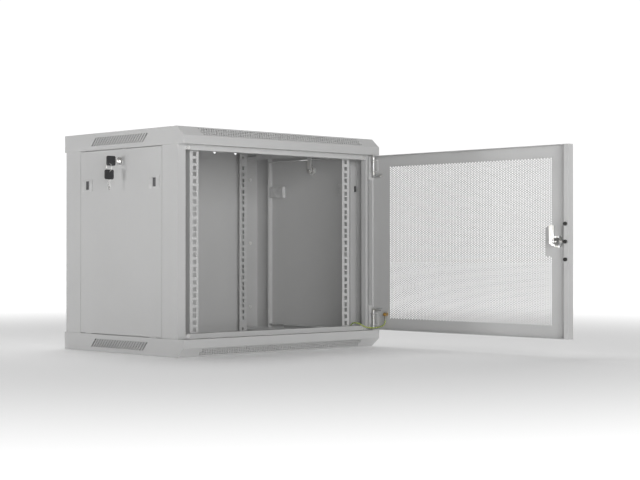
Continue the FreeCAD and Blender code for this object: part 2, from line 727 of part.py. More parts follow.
def side_panel():
    """A folded tray with latch windows, a lock hole and two hooks that drop behind the bottom cover."""
    shell = cut(
        box((f"{SIDE} - fold", SIDE), PANEL_Y, PANEL_Z),
        [
            box(
                (f"{SIDE} - 2 * fold", SKIN_IN),
                (f"{PANEL_Y[0]} + gauge", f"{PANEL_Y[1]} - gauge"),
                (f"{PANEL_Z[0]} + gauge", f"{PANEL_Z[1]} - gauge"),
            )
        ],
    )
    hook = box(
        (SKIN_IN, SIDE),
        (f"{FLANGE} + hook_inset - hook_width / 2", f"{FLANGE} + hook_inset + hook_width / 2"),
        ("cover_rise - hook_drop", f"{PANEL_Z[0]} + gauge"),
    )
    window = box(
        (f"{SKIN_IN} - 2 * gauge", f"{SIDE} + 2 * gauge"),
        (f"{LATCH_Y} - latch_neck_y / 2", f"{LATCH_Y} + latch_neck_y / 2"),
        (f"{LATCH_Z} - latch_neck_z / 2", f"{LATCH_Z} + latch_neck_z / 2"),
    )
    slot = latch_slot(f"{PANEL_Y[0]} - gauge", f"{PANEL_Y[0]} + 3 * gauge")
    lock_hole = rod("x", (f"{SKIN_IN} - gauge", PANEL_MID, LOCK_Z), "barrel_radius", "4 * gauge")
    notch = box(
        (f"{SIDE} - 2 * fold", f"{SKIN_IN} - lock_nut_height / 2"),
        (
            f"{PANEL_MID} - cam_width / 2 - cam_notch_margin",
            f"{PANEL_MID} + cam_length + cam_notch_margin",
        ),
        (f"{PANEL_Z[1]} - 3 * gauge", f"{PANEL_Z[1]} + gauge"),
    )
    cuts = [window, mirrored(window, "y", PANEL_MID), slot, mirrored(slot, "y", PANEL_MID), lock_hole, notch]
    return cut(fused([shell, hook, mirrored(hook, "y", PANEL_MID)]), cuts)


panel_right = node("side_panel_right", side_panel())
node("side_panel_left", mirrored(panel_right, "x"))


# ---------------------------------------------------------------- slide latches, drawn front right
HOUSING_IN = f"({SKIN_IN} - latch_depth)"
CAVITY_X = (f"{HOUSING_IN} + latch_wall", f"{SKIN_IN} - fit")
SLIDER_FRONT = f"({LATCH_Y} - slider_y / 2)"
SLIDER_BACK = f"({LATCH_Y} + slider_y / 2)"
CAVITY_Y = (f"{SLIDER_FRONT} - slider_clear", f"{SLIDER_BACK} + slider_travel + slider_clear")


def latch_housing():
    body = fused([
        box(
            (SIDE, f"{SIDE} + latch_proud"),
            (f"{LATCH_Y} - latch_plate_y / 2", f"{LATCH_Y} + latch_plate_y / 2"),
            (f"{LATCH_Z} - latch_plate_z / 2", f"{LATCH_Z} + latch_plate_z / 2"),
        ),
        box(
            (f"{SKIN_IN} - gauge", SIDE),
            (f"{LATCH_Y} - latch_neck_y / 2", f"{LATCH_Y} + latch_neck_y / 2"),
            (f"{LATCH_Z} - latch_neck_z / 2", f"{LATCH_Z} + latch_neck_z / 2"),
        ),
        box(
            (HOUSING_IN, SKIN_IN),
            (f"{LATCH_Y} - latch_body_y / 2", f"{LATCH_Y} + latch_body_y / 2"),
            (f"{LATCH_Z} - latch_plate_z / 2", f"{LATCH_Z} + latch_plate_z / 2"),
        ),
    ])
    cavity = box(
        CAVITY_X,
        CAVITY_Y,
        (f"{LATCH_Z} - slider_z / 2 - slider_clear", f"{LATCH_Z} + slider_z / 2 + slider_clear"),
    )
    window = box(
        (f"{SKIN_IN} - gauge", f"{SIDE} + 2 * gauge"),
        (f"{LATCH_Y} - latch_window_y / 2", f"{LATCH_Y} + latch_window_y / 2"),
        (f"{LATCH_Z} - latch_window_z / 2", f"{LATCH_Z} + latch_window_z / 2"),
    )
    mouth = latch_slot(f"{LATCH_Y} - latch_body_y", f"{CAVITY_Y[0]} + bite")
    return cut(body, [cavity, window, mouth])


def latch_slider():
    """The sliding block with its tongue and a thumb rib that shows in the window."""
    block = box(
        (f"{CAVITY_X[0]} + slider_clear", f"{CAVITY_X[1]} - slider_clear"),
        (SLIDER_FRONT, SLIDER_BACK),
        (f"{LATCH_Z} - slider_z / 2", f"{LATCH_Z} + slider_z / 2"),
    )
    tongue = box(
        (TONGUE_X, f"{TONGUE_X} + tongue_thick"),
        (f"{FLANGE} - gauge - tongue_reach", LATCH_Y),
        (f"{LATCH_Z} - tongue_z / 2", f"{LATCH_Z} + tongue_z / 2"),
    )
    rib_front = f"{LATCH_Y} - latch_window_y / 2 + rib_margin"
    rib = box(
        (f"{CAVITY_X[1]} - 2 * slider_clear", SIDE),
        (rib_front, f"{rib_front} + rib_width"),
        (f"{LATCH_Z} - latch_window_z / 2 + rib_margin", f"{LATCH_Z} + latch_window_z / 2 - rib_margin"),
    )
    bore_start = (LATCH_SPRING_X, f"{SLIDER_BACK} - spring_bore_depth", LATCH_Z)
    bore = rod("y", bore_start, "spring_bore", "2 * spring_bore_depth")
    return cut(fused([block, tongue, rib]), [bore])


LATCH_SPRING_X = f"(({CAVITY_X[0]} + {CAVITY_X[1]}) / 2)"


def coil(wire, radius, length, turns):
    """A closed solid helix along +Z; its first turn starts one wire radius above its seat."""
    pitch = (length - 2 * wire) / turns
    path = Part.makeLongHelix(pitch, pitch * turns, radius)
    start = path.Edges[0].valueAt(path.Edges[0].FirstParameter)
    tangent = path.Edges[0].tangentAt(path.Edges[0].FirstParameter)
    ring = Part.Wire([Part.makeCircle(wire, start, tangent)])
    return Part.Wire(path.Edges).makePipeShell([ring], True, True)


half_width = size("width") / 2
side_face = half_width - size("gauge") - size("fit")
skin_inner = side_face - size("gauge")
front_plane = -size("depth") / 2 + size("post_setback")
flange_plane = front_plane + size("post_side")
cabinet_height = 2 * (size("cover_rise") + size("bar_rise")) + size("units") * size("unit_pitch")


def made(shape, placement):
    """A piece whose shape is set in code and then put in its place."""
    thing = doc.addObject("Part::Feature", "Made")
    thing.Shape = shape
    thing.Placement = placement
    return thing


def latch_spring():
    """The spring between the slider's bore and the rear end of the housing's cavity."""
    latch_middle = flange_plane + size("latch_inset")
    seat = latch_middle + size("slider_y") / 2 - size("spring_bore_depth")
    stop = latch_middle + size("slider_y") / 2 + size("slider_travel") + size("slider_clear")
    wire = size("spring_wire")
    shape = coil(wire, size("spring_radius"), stop - seat, size("spring_turns"))
    cavity_low = skin_inner - size("latch_depth") + size("latch_wall")
    across = (cavity_low + skin_inner - size("fit")) / 2
    height = cabinet_height - size("cover_rise") - size("latch_drop")
    return made(shape, Placement(Vector(across, seat + wire, height), TURNS["y"]))


housing = latch_housing()
housings_right = node("side_latch_housings_right", pair(housing, "y", PANEL_MID))
node("side_latch_housings_left", mirrored(housings_right, "x"))
slider_front_right = node("side_latch_slider_front_right", latch_slider())
slider_rear_right = node("side_latch_slider_rear_right", mirrored(slider_front_right, "y", PANEL_MID))
node("side_latch_slider_front_left", mirrored(slider_front_right, "x"))
node("side_latch_slider_rear_left", mirrored(slider_rear_right, "x"))
node("side_latch_springs", pair(pair(latch_spring(), "y", PANEL_MID), "x"))

# ---------------------------------------------------------------- side locks
BARREL_END = f"({SKIN_IN} - barrel_reach)"


def side_barrel():
    bore_start = (f"{BARREL_END} - bite", PANEL_MID, LOCK_Z)
    body = fused([
        rod("x", (SIDE, PANEL_MID, LOCK_Z), "side_head", "side_head_proud"),
        rod("x", (BARREL_END, PANEL_MID, LOCK_Z), "barrel_radius", f"{SIDE} - {BARREL_END}"),
    ])
    return cut(body, [rod("x", bore_start, "plug_radius + running", "4 * barrel_reach")])


def side_plug():
    shoulder = f"{BARREL_END} - cam_gap"
    stub_end = (f"{shoulder} - 2 * cam_thick", PANEL_MID, LOCK_Z)
    body = fused([
        rod("x", (shoulder, PANEL_MID, LOCK_Z), "plug_radius", f"{LOCK_FACE} - ({shoulder})"),
        rod("x", stub_end, "cam_stub", "3 * cam_thick"),
        rod("x", stub_end, "cam_clip", "cam_thick"),
    ])
    keyway = box(
        (f"{LOCK_FACE} - keyway_depth", f"{LOCK_FACE} + bite"),
        (f"{PANEL_MID} - keyway_thick / 2", f"{PANEL_MID} + keyway_thick / 2"),
        (f"{LOCK_Z} - keyway_rise / 2", f"{LOCK_Z} + keyway_rise / 2"),
    )
    return cut(body, [keyway])


def cam(plane, offset, u, v):
    """A flat lock cam that points up, with one round end and a round hole."""
    body = new_body()
    outline = sketch(body, plane)
    bind(outline, "AttachmentOffset.Base.z", offset)
    rectangle(outline, (f"{u} - cam_width / 2", f"{u} + cam_width / 2"), (v, f"{v} + cam_length"))
    pad(body, outline, "cam_thick")
    hub = sketch(body, plane)
    bind(hub, "AttachmentOffset.Base.z", offset)
    circle(hub, u, v, "cam_width / 2")
    pad(body, hub, "cam_thick")
    bore = sketch(body, plane)
    bind(bore, "AttachmentOffset.Base.z", offset)
    circle(bore, u, v, "cam_bore")
    pocket(body, bore, "4 * cam_thick")
    return body


barrel = node("side_lock_barrel_right", side_barrel())
node("side_lock_barrel_left", mirrored(barrel, "x"))
NUT_END = f"({SKIN_IN} - lock_nut_height)"
side_nut = cut(
    hexagon("x", (NUT_END, PANEL_MID, LOCK_Z), "lock_nut_across", "lock_nut_height"),
    [rod("x", (f"{NUT_END} - bite", PANEL_MID, LOCK_Z), "barrel_radius", "lock_nut_height + 2 * bite")],
)
node("side_lock_nuts", pair(side_nut, "x"))
plug_right = node("side_lock_plug_right", side_plug())
node("side_lock_plug_left", mirrored(plug_right, "x"))
cam_right = cam("YZ_Plane", f"{BARREL_END} - cam_gap - cam_thick", PANEL_MID, LOCK_Z)
node("side_lock_cam_right", cam_right)
node("side_lock_cam_left", mirrored(cam_right, "x"))


# ---------------------------------------------------------------- keys, drawn right and mirrored
def bow(x, z):
    """A rounded grip plate whose face looks along Y, with its ring hole."""
    body = new_body()
    outline = sketch(body, "XZ_Plane")
    bind(outline, "AttachmentOffset.Base.z", f"-({PANEL_MID}) - bow_thick / 2")
    corner = "bow_corner"
    polygon(outline, [
        (f"{x} + {corner} / 2", f"{z} - bow_rise / 2"),
        (f"{x} + bow_run - {corner}", f"{z} - bow_rise / 2"),
        (f"{x} + bow_run", f"{z} - bow_rise / 2 + {corner}"),
        (f"{x} + bow_run", f"{z} + bow_rise / 2 - {corner}"),
        (f"{x} + bow_run - {corner}", f"{z} + bow_rise / 2"),
        (f"{x} + {corner} / 2", f"{z} + bow_rise / 2"),
        (x, f"{z} + bow_rise / 2 - {corner}"),
        (x, f"{z} - bow_rise / 2 + {corner}"),
    ])
    pad(body, outline, "bow_thick")
    return body


def ring_hole(x, z):
    return rod("y", (x, f"{PANEL_MID} - 2 * bow_thick", z), "bow_hole", "4 * bow_thick")


BOW_X = f"({LOCK_FACE} + blade_out)"
RING_X = f"({BOW_X} + bow_run - ring_offset)"
RING_TOP = f"({LOCK_Z} - bow_rise / 2 + bow_hole_inset)"
RING_LOW = f"({RING_TOP} - 2 * ring_radius)"
SPARE_MID = f"({RING_LOW} - bow_rise / 2 + bow_hole_inset)"


def blade(x, z):
    return box(x, (f"{PANEL_MID} - blade_thick / 2", f"{PANEL_MID} + blade_thick / 2"), z)


key = cut(
    fused([
        bow(BOW_X, LOCK_Z),
        blade(
            (f"{LOCK_FACE} - keyway_depth + key_gap", f"{BOW_X} + bite"),
            (f"{LOCK_Z} - blade_rise / 2", f"{LOCK_Z} + blade_rise / 2"),
        ),
    ]),
    [ring_hole(RING_X, RING_TOP)],
)
node("side_lock_key", mirrored(key, "x"))
spare = cut(
    fused([
        bow(f"{RING_X} - bow_run / 2", SPARE_MID),
        blade(
            (f"{RING_X} - blade_rise / 2", f"{RING_X} + blade_rise / 2"),
            (f"{SPARE_MID} - bow_rise / 2 - blade_length", f"{SPARE_MID} - bow_rise / 2 + bite"),
        ),
    ]),
    [ring_hole(RING_X, RING_LOW)],
)
node("spare_key", mirrored(spare, "x"))
key_ring = doc.addObject("Part::Torus", "Ring")
key_ring.Placement = Placement(Vector(), TURNS["x"])
bind(key_ring, "Radius1", "ring_radius")
bind(key_ring, "Radius2", "ring_wire")
place(key_ring, f"-{RING_X}", PANEL_MID, f"{RING_TOP} - ring_radius")
node("key_ring", key_ring)

# ---------------------------------------------------------------- door, drawn closed
LIP_X = f"({DOOR_HALF} - door_lip)"


def mesh_sheet():
    """The perforated field of the door with its blank pad round the lock."""
    body = new_body()
    outline = sketch(body, "XZ_Plane")
    bind(outline, "AttachmentOffset.Base.z", f"-({DOOR_FRONT}) - gauge")
    pad_x = f"-{MESH_X} + lock_pad"
    polygon(outline, [
        (f"-{MESH_X}", MESH_LOW),
        (MESH_X, MESH_LOW),
        (MESH_X, MESH_HIGH),
        (f"-{MESH_X}", MESH_HIGH),
        (f"-{MESH_X}", f"{MIDDLE} + lock_pad_rise"),
        (pad_x, f"{MIDDLE} + lock_pad_rise"),
        (pad_x, f"{MIDDLE} - lock_pad_rise"),
        (f"-{MESH_X}", f"{MIDDLE} - lock_pad_rise"),
    ])
    pad(body, outline, "gauge")
    return body


def door_skin(field):
    """A folded tray: front skin, four walls and a lip on each upright edge, notched for the hinge pins."""
    tray = cut(
        box((f"-{DOOR_HALF}", DOOR_HALF), (DOOR_FRONT, DOOR_BACK), (DOOR_LOW, DOOR_HIGH)),
        [
            box(
                (f"-{DOOR_HALF} + gauge", f"{DOOR_HALF} - gauge"),
                (f"{DOOR_FRONT} + gauge", f"{DOOR_BACK} - gauge"),
                (f"{DOOR_LOW} + gauge", f"{DOOR_HIGH} - gauge"),
            ),
            box(
                (f"-{LIP_X}", LIP_X),
                (f"{DOOR_BACK} - 2 * gauge", f"{DOOR_BACK} + gauge"),
                (f"{DOOR_LOW} + gauge", f"{DOOR_HIGH} - gauge"),
            ),
        ],
    )
    notch = box(
        (f"{LIP_X} - gauge", f"{DOOR_HALF} - gauge"),
        (f"{DOOR_BACK} - 2 * gauge", f"{DOOR_BACK} + gauge"),
        (f"{DOOR_LOW} + gauge", f"{DOOR_LOW} + notch_rise"),
    )
    pin_hole = rod("z", (HINGE_X, HINGE_Y, f"{DOOR_LOW} - gauge"), "pin_wall_hole", "4 * gauge")
    lock_hole = rod("y", (LOCK_X, f"{DOOR_FRONT} - gauge", MIDDLE), "door_barrel", "4 * gauge")
    cuts = [field, lock_hole] + both_ends(notch) + both_ends(pin_hole)
    return cut(tray, cuts)


field_sheet = mesh_sheet()
swung("door_perforated_sheet", field_sheet)
swung("door_skin", door_skin(field_sheet))

# ---------------------------------------------------------------- hinge pins, drawn at the top of the door
PIN_TIP = f"({COVER_TOP} + gauge + pin_reach)"
PIN_LOW = f"({PIN_TIP} - pin_length)"
EAR_HIGH = f"({DOOR_HIGH} - ear_top)"
EAR_LOW = f"({EAR_HIGH} - ear_spacing - ear_thick)"
SKIN_BACK = f"({DOOR_FRONT} + gauge)"


def hinge_bracket():
    """A U-shaped bracket on the inside of the skin whose two ears guide a hinge pin."""
    across = (f"{DOOR_HALF} - gauge - fit - bracket_width", f"{DOOR_HALF} - gauge - fit")
    body = fused([
        box(across, (SKIN_BACK, f"{SKIN_BACK} + bracket_back"), (EAR_LOW, f"{EAR_HIGH} + ear_thick")),
        box(across, (SKIN_BACK, f"{DOOR_BACK} - 2 * gauge"), (EAR_LOW, f"{EAR_LOW} + ear_thick")),
        box(across, (SKIN_BACK, f"{DOOR_BACK} - 2 * gauge"), (EAR_HIGH, f"{EAR_HIGH} + ear_thick")),
    ])
    guide_start = (HINGE_X, HINGE_Y, f"{EAR_LOW} - bite")
    guide = rod("z", guide_start, "pin_radius + running", "ear_spacing + 6 * ear_thick")
    return cut(body, [guide])


COLLAR_TOP = f"({EAR_HIGH} - collar_gap)"


def hinge_pin():
    """An L-shaped pin with a formed collar that its spring pushes on."""
    heel = doc.addObject("Part::Sphere", "Heel")
    bind(heel, "Radius", "pin_radius")
    place(heel, HINGE_X, HINGE_Y, f"{PIN_LOW} + pin_radius")
    return fused([
        rod("z", (HINGE_X, HINGE_Y, f"{PIN_LOW} + pin_radius"), "pin_radius", "pin_length - pin_radius"),
        rod("x", (f"{HINGE_X} - pin_foot", HINGE_Y, f"{PIN_LOW} + pin_radius"), "pin_radius", "pin_foot"),
        heel,
        rod("z", (HINGE_X, HINGE_Y, f"{COLLAR_TOP} - collar_thick"), "collar_radius", "collar_thick"),
    ])


def pin_spring():
    door_high = cabinet_height - size("cover_rise") - size("door_gap")
    ear_high = door_high - size("ear_top")
    seat = ear_high - size("ear_spacing")
    stop = ear_high - size("collar_gap") - size("collar_thick")
    wire = size("pin_spring_wire")
    shape = coil(wire, size("pin_spring_radius"), stop - seat, size("pin_spring_turns"))
    hinge_y = -size("depth") / 2 + size("door_recess") + size("door_thick") / 2
    return made(shape, Placement(Vector(half_width - size("hinge_inset"), hinge_y, seat + wire), Rotation()))


for kind, piece in (("bracket", hinge_bracket()), ("pin", hinge_pin()), ("spring", pin_spring())):
    swung(f"hinge_{kind}_upper", piece)
    swung(f"hinge_{kind}_lower", mirrored(piece, "z", MIDDLE))

# ---------------------------------------------------------------- door lock
BARREL_BACK = f"({DOOR_FRONT} + door_barrel_reach)"
DOOR_FACE = f"({DOOR_FRONT} - door_head_proud)"
door_bore_start = (LOCK_X, f"{DOOR_FACE} - bite", MIDDLE)
door_barrel = cut(
    fused([
        rod("y", (LOCK_X, DOOR_FACE, MIDDLE), "door_head", "door_head_proud"),
        rod("y", (LOCK_X, DOOR_FRONT, MIDDLE), "door_barrel", "door_barrel_reach"),
    ]),
    [rod("y", door_bore_start, "door_plug + running", "2 * door_barrel_reach")],
)
swung("door_lock_barrel", door_barrel)
door_nut = cut(
    hexagon("y", (LOCK_X, SKIN_BACK, MIDDLE), "door_nut_across", "lock_nut_height"),
    [rod("y", (LOCK_X, DOOR_FRONT, MIDDLE), "door_barrel", "3 * lock_nut_height")],
)
swung("door_lock_nut", door_nut)
door_plug = cut(
    fused([
        rod("y", (LOCK_X, DOOR_FACE, MIDDLE), "door_plug", f"{CAM_Y} - {DOOR_FACE}"),
        rod("y", (LOCK_X, f"{CAM_Y} - bite", MIDDLE), "cam_stub", "cam_thick + 2 * bite"),
        rod("y", (LOCK_X, f"{CAM_Y} + cam_thick", MIDDLE), "cam_clip", "cam_thick"),
    ]),
    [
        box(
            (f"{LOCK_X} - keyway_thick / 2", f"{LOCK_X} + keyway_thick / 2"),
            (f"{DOOR_FACE} - bite", f"{DOOR_FACE} + keyway_depth"),
            (f"{MIDDLE} - keyway_rise / 2", f"{MIDDLE} + keyway_rise / 2"),
        )
    ],
)
swung("door_lock_plug", door_plug)
swung("door_lock_cam", cam("XZ_Plane", f"-({CAM_Y}) - cam_thick", LOCK_X, MIDDLE))

# ---------------------------------------------------------------- buffers on the free edge's lip
BUFFER_X = f"(-{DOOR_HALF} + buffer_inset)"
buffers = [
    rod("y", (BUFFER_X, DOOR_BACK, f"{MIDDLE} + {number} * buffer_spacing"), "buffer_radius", "buffer_thick")
    for number in (-1, 0, 1)
]
swung("door_buffers", group(buffers))

# ---------------------------------------------------------------- earth connection
EARTH_X = "(width / 2 - earth_inset)"


def earth_hardware(stud_start, lug_seat, axis, tail):
    """A stud with a ring terminal and a brass nut on it; tail is the terminal's crimp barrel."""
    seat_nut = list(lug_seat)
    index = "xyz".index(axis)
    seat_nut[index] = f"{lug_seat[index]} + lug_thick"
    stud = rod(axis, stud_start, "earth_stud", "earth_length")
    terminal = cut(
        fused([rod(axis, lug_seat, "lug_radius", "lug_thick"), tail]),
        [rod(axis, stud_start, "earth_stud", "earth_length")],
    )
    nut = cut(
        hexagon(axis, seat_nut, "earth_nut_across", "earth_nut_height"),
        [rod(axis, stud_start, "earth_stud", "earth_length")],
    )
    return stud, terminal, nut


LUG_Y = f"{SKIN_BACK} + earth_nut_height"
door_tail = box(
    (f"{EARTH_X} - wire_radius", f"{EARTH_X} + wire_radius"),
    (LUG_Y, f"{LUG_Y} + 2 * wire_radius"),
    ("earth_rise - lug_radius - lug_barrel", "earth_rise - lug_radius + bite"),
)
door_stud, door_lug, door_brass = earth_hardware(
    (EARTH_X, SKIN_BACK, "earth_rise"), (EARTH_X, LUG_Y, "earth_rise"), "y", door_tail
)
spacer = cut(
    hexagon("y", (EARTH_X, SKIN_BACK, "earth_rise"), "earth_nut_across", "earth_nut_height"),
    [rod("y", (EARTH_X, DOOR_FRONT, "earth_rise"), "earth_stud", "earth_length")],
)
swung("earth_stud_door", group([door_stud, door_brass, spacer]))
swung("earth_terminal_door", door_lug)

BRACKET_FACE = f"({RAIL_OUT} + fit + rail_gauge)"
STUD_Y = f"({RAIL_FRONT} + cabinet_stud_back)"
STUD_PLACE = (BRACKET_FACE, STUD_Y, "bracket_bolt_rise")
cabinet_tail = box(
    (f"{BRACKET_FACE} + tail_lift", f"{BRACKET_FACE} + tail_lift + 2 * wire_radius"),
    (f"{STUD_Y} - lug_radius - lug_barrel", f"{STUD_Y} - lug_radius + bite"),
    ("bracket_bolt_rise - wire_radius", "bracket_bolt_rise + wire_radius"),
)
cabinet_stud, cabinet_lug, cabinet_brass = earth_hardware(STUD_PLACE, STUD_PLACE, "x", cabinet_tail)
node("earth_stud_cabinet", group([cabinet_stud, cabinet_brass]))
node("earth_terminal_cabinet", cabinet_lug)


# ---------------------------------------------------------------- earth wire
def rounded_path(points):
    """Straight runs joined by tangent arcs, each as large as its two runs allow, and the arcs' radii."""
    edges = []
    radii = []
    start = points[0]
    for before, corner, after in zip(points, points[1:], points[2:]):
        arrive = (corner - before).normalize()
        leave = (after - corner).normalize()
        turn = arrive.getAngle(leave)
        shorter = min((corner - before).Length, (after - corner).Length)
        setback = 0.45 * shorter
        radii.append(setback / math.tan(turn / 2))
        arc_start = corner - arrive * setback
        arc_end = corner + leave * setback
        bisector = (leave - arrive).normalize()
        middle = corner + bisector * (radii[-1] / math.cos(turn / 2) - radii[-1])
        edges.append(Part.makeLine(start, arc_start))
        edges.append(Part.Arc(arc_start, middle, arc_end).toShape())
        start = arc_end
    edges.append(Part.makeLine(start, points[-1]))
    return Part.Wire(edges), radii


# From the door's terminal down inside the door, out past the notched end of its lip, over the bottom
# cover's lip and the crossbar, and down behind the rail to the terminal on the depth bracket.
WIRE_ROUTE = (
    (292.3, -252.5, 64), (292.3, -252.2, 58.2), (292, -249.3, 53.2), (290.8, -243.5, 49.6),
    (288.6, -235.5, 47), (284.5, -227, 45.3), (279, -219.5, 44.8), (271, -210.5, 46), (262.5, -205, 51),
    (256, -198, 56.5), (252.5, -185.5, 57.5), (253.5, -174, 51.5), (256, -166, 41), (255.5, -153.5, 30.5),
    (249.7, -140, 24), (249.7, -126, 24),
)
path, wire_radii = rounded_path([Vector(*point) for point in WIRE_ROUTE])
wire_start = Vector(*WIRE_ROUTE[0])
wire_section = Part.Wire([Part.makeCircle(size("wire_radius"), wire_start, Vector(0, 0, -1))])
wire_solid = path.makePipeShell([wire_section], True, True)
node("earth_wire", made(wire_solid, Placement()))
expected = math.pi * size("wire_radius") ** 2 * path.Length
print("earth wire: length", round(path.Length, 1), "radii", [round(radius, 1) for radius in wire_radii])
print("earth wire: volume over section times length", round(wire_solid.Volume / expected, 4))

# ---------------------------------------------------------------- checks and files
doc.recompute()
for thing in doc.Objects:
    if {"Invalid", "Error"} & set(thing.State):
        raise RuntimeError(f"{thing.Label} did not build: {thing.State}")
for thing in nodes:
    if thing.Shape.isNull() or not thing.Shape.isValid() or not thing.Shape.Solids:
        raise RuntimeError(f"{thing.Label} has no valid solid")
for thing in nodes:
    thing.Shape.exportStep(f"parts/{thing.Label}.step")
print(len(nodes), "sub-parts written")
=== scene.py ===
import json
import math

import bmesh
import bpy
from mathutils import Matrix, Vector
from mathutils.geometry import delaunay_2d_cdt


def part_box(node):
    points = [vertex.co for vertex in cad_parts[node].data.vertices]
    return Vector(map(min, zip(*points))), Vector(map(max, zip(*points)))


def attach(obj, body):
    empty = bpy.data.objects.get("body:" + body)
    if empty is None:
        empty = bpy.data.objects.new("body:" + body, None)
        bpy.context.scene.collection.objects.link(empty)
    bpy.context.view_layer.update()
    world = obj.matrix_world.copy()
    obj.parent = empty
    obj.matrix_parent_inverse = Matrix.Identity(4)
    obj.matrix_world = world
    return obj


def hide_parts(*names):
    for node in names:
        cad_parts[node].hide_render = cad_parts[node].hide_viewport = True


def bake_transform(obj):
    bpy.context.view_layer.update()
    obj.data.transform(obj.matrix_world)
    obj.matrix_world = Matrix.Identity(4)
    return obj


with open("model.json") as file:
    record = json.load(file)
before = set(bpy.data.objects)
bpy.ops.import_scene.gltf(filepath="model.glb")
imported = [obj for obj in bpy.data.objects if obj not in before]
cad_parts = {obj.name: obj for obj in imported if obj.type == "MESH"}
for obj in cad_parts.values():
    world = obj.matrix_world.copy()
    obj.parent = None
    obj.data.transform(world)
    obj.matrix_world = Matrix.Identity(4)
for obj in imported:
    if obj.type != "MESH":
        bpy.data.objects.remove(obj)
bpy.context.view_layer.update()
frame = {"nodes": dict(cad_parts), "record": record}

MM = 0.001

# ---------------------------------------------------------------- camera, light and floor
CAMERA_PLACE = Vector((-2.3197, -2.7747, 0.2316))
CAMERA_AIM = Vector((0.68876, 0.72495, 0.00690))
LENS = 85
FLOOR_SIZE = 40
FLOOR_DROP = 0.0006
FLOOR_COLOR = (0.85, 0.85, 0.85, 1)
FLOOR_ROUGHNESS = 0.9
WHITE = (1, 1, 1, 1)
# the floor's glow near the cabinet and far from it, and the distances between which it grows
FLOOR_GLOW = 0.14
FAR_GLOW = 0.8
GLOW_START = 0.8
GLOW_FULL = 3.0
# the bright wall fills the directions whose cosine with its side is above the full value
WALL_SIDE = Vector((1, 1, 0))
WALL_START = 0.2
WALL_FULL = 0.85
WALL_LIGHT = 1.05
ROOM_LIGHT = 0.09
# name, place, aimed at, side in metres, watts
LAMPS = (
    ("front_light", (-2.0, -4.0, 0.4), (0, 0, 0.25), 2.0, 128),
    ("side_light", (-2.9, 1.3, 0.42), (-0.1, 0, 0.3), 0.4, 18),
    ("top_light", (0.1, 0.6, 3.1), (0, 0, 0.3), 1.6, 26),
)


def add_camera():
    camera = bpy.data.objects.new("camera", bpy.data.cameras.new("camera"))
    camera.data.lens = LENS
    camera.location = CAMERA_PLACE
    camera.rotation_euler = CAMERA_AIM.to_track_quat("-Z", "Y").to_euler()
    bpy.context.scene.collection.objects.link(camera)
    bpy.context.scene.camera = camera


def add_lamp(name, place, aim, side, power):
    lamp = bpy.data.lights.new(name, "AREA")
    lamp.shape = "SQUARE"
    lamp.size = side
    lamp.energy = power
    holder = bpy.data.objects.new(name, lamp)
    holder.location = place
    holder.rotation_euler = (Vector(aim) - Vector(place)).to_track_quat("-Z", "Y").to_euler()
    bpy.context.scene.collection.objects.link(holder)


def add_floor():
    """A pale floor that glows more and more with its distance from the cabinet."""
    mesh = bpy.data.meshes.new("floor")
    half = FLOOR_SIZE / 2
    corners = [(-half, -half), (half, -half), (half, half), (-half, half)]
    mesh.from_pydata([(x, y, -FLOOR_DROP) for x, y in corners], [], [(0, 1, 2, 3)])
    floor = bpy.data.objects.new("floor", mesh)
    bpy.context.scene.collection.objects.link(floor)
    material = bpy.data.materials.new("pale_floor")
    material.use_nodes = True
    nodes = material.node_tree.nodes
    links = material.node_tree.links
    shader = nodes["Principled BSDF"]
    shader.inputs["Base Color"].default_value = FLOOR_COLOR
    shader.inputs["Emission Color"].default_value = WHITE
    shader.inputs["Roughness"].default_value = FLOOR_ROUGHNESS
    place = nodes.new("ShaderNodeTexCoord")
    away = nodes.new("ShaderNodeVectorMath")
    away.operation = "LENGTH"
    fade = nodes.new("ShaderNodeMapRange")
    fade.interpolation_type = "SMOOTHSTEP"
    fade.inputs["From Min"].default_value = GLOW_START
    fade.inputs["From Max"].default_value = GLOW_FULL
    fade.inputs["To Min"].default_value = FLOOR_GLOW
    fade.inputs["To Max"].default_value = FAR_GLOW
    links.new(place.outputs["Object"], away.inputs[0])
    links.new(away.outputs["Value"], fade.inputs["Value"])
    links.new(fade.outputs["Result"], shader.inputs["Emission Strength"])
    mesh.materials.append(material)


def add_world():
    """A dim studio with a bright white wall on the far side of the cabinet."""
    world = bpy.data.worlds.new("studio")
    world.use_nodes = True
    nodes = world.node_tree.nodes
    links = world.node_tree.links
    place = nodes.new("ShaderNodeTexCoord")
    towards = nodes.new("ShaderNodeVectorMath")
    towards.operation = "DOT_PRODUCT"
    towards.inputs[1].default_value = WALL_SIDE.normalized()
    fade = nodes.new("ShaderNodeMapRange")
    fade.interpolation_type = "SMOOTHSTEP"
    fade.inputs["From Min"].default_value = WALL_START
    fade.inputs["From Max"].default_value = WALL_FULL
    fade.inputs["To Min"].default_value = ROOM_LIGHT
    fade.inputs["To Max"].default_value = WALL_LIGHT
    links.new(place.outputs["Generated"], towards.inputs[0])
    links.new(towards.outputs["Value"], fade.inputs["Value"])
    links.new(fade.outputs["Result"], nodes["Background"].inputs["Strength"])
    nodes["Background"].inputs["Color"].default_value = WHITE
    bpy.context.scene.world = world
    bpy.context.scene.view_settings.view_transform = "Standard"


add_camera()
add_floor()
add_world()
for lamp_row in LAMPS:
    add_lamp(*lamp_row)


# ---------------------------------------------------------------- material building blocks
BEVEL_SAMPLES = 4


